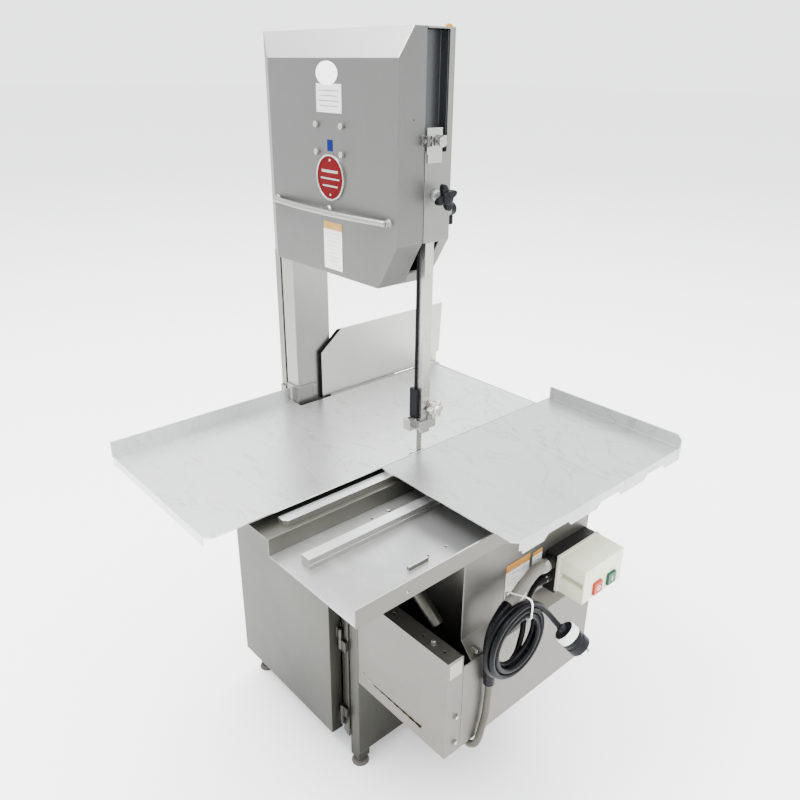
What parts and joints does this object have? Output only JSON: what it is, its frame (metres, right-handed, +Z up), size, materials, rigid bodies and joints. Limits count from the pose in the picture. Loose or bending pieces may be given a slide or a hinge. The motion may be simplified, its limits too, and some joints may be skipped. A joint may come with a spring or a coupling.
{
  "type": "meat band saw",
  "caption": "Floor-standing butcher's band saw with a tall head, stainless table, sliding carriage, gauge plate, blade guide and side switch box.",
  "frame": {"origin": "on the floor, under the middle of the machine's bounding box without its power cord", "axes": "+X from the column towards the sliding carriage, +Y towards the operator who pushes the carriage, +Z up"},
  "size_m": [0.8776, 0.969, 1.654],
  "materials": {
    "steel_table": "brushed, worn bright",
    "steel_body": "brushed satin",
    "steel_door": "brushed satin",
    "steel_bright": "polished",
    "gauge_steel": "brushed",
    "shaft_steel": "ground",
    "blade_steel": "bright",
    "spring_steel": "oiled",
    "cast_wheel": "machined rim",
    "cast_dark": "as cast",
    "roller_black": "satin",
    "knob_black": "satin",
    "knob_bright": "polished",
    "foot_rubber": "matte",
    "belt_rubber": "matte",
    "badge_red": "glossy with a bright rim",
    "label": "printed, blank",
    "eye_orange": "gloss",
    "motor_paint": "semi-gloss",
    "switch_black": "satin",
    "switch_ivory": "satin",
    "button_stop": "satin",
    "button_start": "satin",
    "conduit_grey": "ribbed, satin",
    "tie_white": "satin",
    "cord_black": "satin",
    "plug_black": "satin"
  },
  "bodies": {
    "base": {"stationary_table": "steel_table", "table_insert": "steel_table", "tray": "steel_table", "carriage_rails": "steel_table", "cabinet": "steel_body", "legs": "steel_body", "upper_deck": "steel_body", "column": "steel_body", "column_cover": "steel_body", "column_foot": "steel_body", "motor_box": "steel_body", "side_panel": "steel_body", "bulkhead": "steel_body", "head_housing": "steel_body", "latch_base": "steel_bright", "lower_door_hinge": "steel_bright", "gauge_rail": "steel_bright", "blade": "blade_steel", "tension_spring": "spring_steel", "lower_bearing": "cast_dark", "guide_bracket": "cast_dark", "leveling_feet": "foot_rubber", "drive_belt": "belt_rubber", "lifting_eye": "eye_orange", "motor": "motor_paint", "switch_box": "switch_black", "switch_cover": "switch_ivory", "conduit": "conduit_grey", "cable_tie": "tie_white", "cord": "cord_black", "cord_coil": "cord_black", "plug": "plug_black"},
    "head_door": {"head_door": "steel_door", "door_handle": "steel_bright", "door_bolts": "steel_bright", "door_badge": "badge_red", "door_labels": "label"},
    "lower_door": {"lower_door": "steel_door"},
    "latch_bolt": {"latch_bolt": "steel_bright"},
    "rear_lever": {"bar_clamp_lever": "knob_black"},
    "tension": {"tension_block": "cast_dark", "upper_axle": "shaft_steel"},
    "upper_wheel": {"upper_wheel": "cast_wheel", "upper_bearings": "shaft_steel"},
    "lower_wheel": {"lower_wheel": "cast_wheel", "lower_shaft": "shaft_steel", "drive_pulley": "cast_dark"},
    "motor_pulley": {"motor_pulley": "cast_dark"},
    "guide": {"guide_bar": "steel_bright", "guide_clamp": "steel_bright", "guide_strip": "knob_black"},
    "guide_roller": {"guide_roller": "roller_black"},
    "guide_knob": {"guide_knob": "knob_bright"},
    "guide_lock_knob": {"guide_lock_knob": "knob_black"},
    "gauge_plate": {"gauge_plate": "gauge_steel"},
    "carriage": {"carriage": "steel_table"},
    "front_roller": {"front_roller": "roller_black"},
    "rear_roller": {"rear_roller": "roller_black"},
    "stop_button": {"stop_button": "button_stop"},
    "start_button": {"start_button": "button_start"}
  },
  "joints": [
    {"name": "lower_wheel_spin", "type": "hinge", "parent": "base", "child": "lower_wheel", "pos_m": [-0.1632, 0.0245, 0.254], "axis": [0, 1, 0], "continuous": true},
    {"name": "tension_slide", "type": "slide", "parent": "base", "child": "tension", "axis": [0, 0, 1], "range_m": [-0.008, 0]},
    {"name": "upper_wheel_spin", "type": "hinge", "parent": "tension", "child": "upper_wheel", "pos_m": [-0.1632, 0.0245, 1.419], "axis": [0, 1, 0], "continuous": true},
    {"name": "motor_spin", "type": "hinge", "parent": "base", "child": "motor_pulley", "pos_m": [0.1905, 0.0245, 0.41], "axis": [0, 1, 0], "continuous": true},
    {"name": "guide_slide", "type": "slide", "parent": "base", "child": "guide", "axis": [0, 0, 1], "range_m": [-0.01, 0.25]},
    {"name": "guide_roller_spin", "type": "hinge", "parent": "guide", "child": "guide_roller", "pos_m": [0.039, 0.0139, 0.887], "axis": [1, 0, 0], "continuous": true},
    {"name": "guide_knob_turn", "type": "hinge", "parent": "guide", "child": "guide_knob", "pos_m": [0.0705, 0.0465, 0.921], "axis": [1, 0, 0], "range_deg": [-180, 180]},
    {"name": "guide_lock_turn", "type": "hinge", "parent": "base", "child": "guide_lock_knob", "pos_m": [0.0805, 0.0325, 1.362], "axis": [1, 0, 0], "range_deg": [-180, 180]},
    {"name": "rear_lever_turn", "type": "hinge", "parent": "base", "child": "rear_lever", "pos_m": [0.0505, 0.0845, 1.33], "axis": [0, 1, 0], "range_deg": [0, 90]},
    {"name": "head_door_swing", "type": "hinge", "parent": "base", "child": "head_door", "pos_m": [-0.4045, 0.0065, 1.415], "axis": [0, 0, 1], "range_deg": [-110, 0]},
    {"name": "lower_door_swing", "type": "hinge", "parent": "base", "child": "lower_door", "pos_m": [-0.0015, -0.1635, 0.415], "axis": [0, 0, 1], "range_deg": [0, 95]},
    {"name": "latch_slide", "type": "slide", "parent": "base", "child": "latch_bolt", "axis": [0, 1, 0], "range_m": [0, 0.0105]},
    {"name": "gauge_slide", "type": "slide", "parent": "base", "child": "gauge_plate", "axis": [1, 0, 0], "range_m": [0, 0.353]},
    {"name": "carriage_slide", "type": "slide", "parent": "base", "child": "carriage", "axis": [0, 1, 0], "range_m": [-0.455, 0]},
    {"name": "front_roller_spin", "type": "hinge", "parent": "carriage", "child": "front_roller", "pos_m": [0.1555, 0.1145, 0.7883], "axis": [1, 0, 0], "continuous": true},
    {"name": "rear_roller_spin", "type": "hinge", "parent": "carriage", "child": "rear_roller", "pos_m": [0.1555, 0.3045, 0.7883], "axis": [1, 0, 0], "continuous": true},
    {"name": "stop_press", "type": "slide", "parent": "base", "child": "stop_button", "axis": [1, 0, 0], "range_m": [-0.003, 0], "stiffness_N_per_m": 600},
    {"name": "start_press", "type": "slide", "parent": "base", "child": "start_button", "axis": [1, 0, 0], "range_m": [-0.003, 0], "stiffness_N_per_m": 600}
  ],
  "couplings": [
    {"joint": "upper_wheel_spin", "follows": "lower_wheel_spin", "ratio": 1},
    {"joint": "motor_spin", "follows": "lower_wheel_spin", "ratio": 2},
    {"joint": "front_roller_spin", "follows": "carriage_slide", "rad_per_m": -90.909},
    {"joint": "rear_roller_spin", "follows": "carriage_slide", "rad_per_m": -90.909}
  ]
}
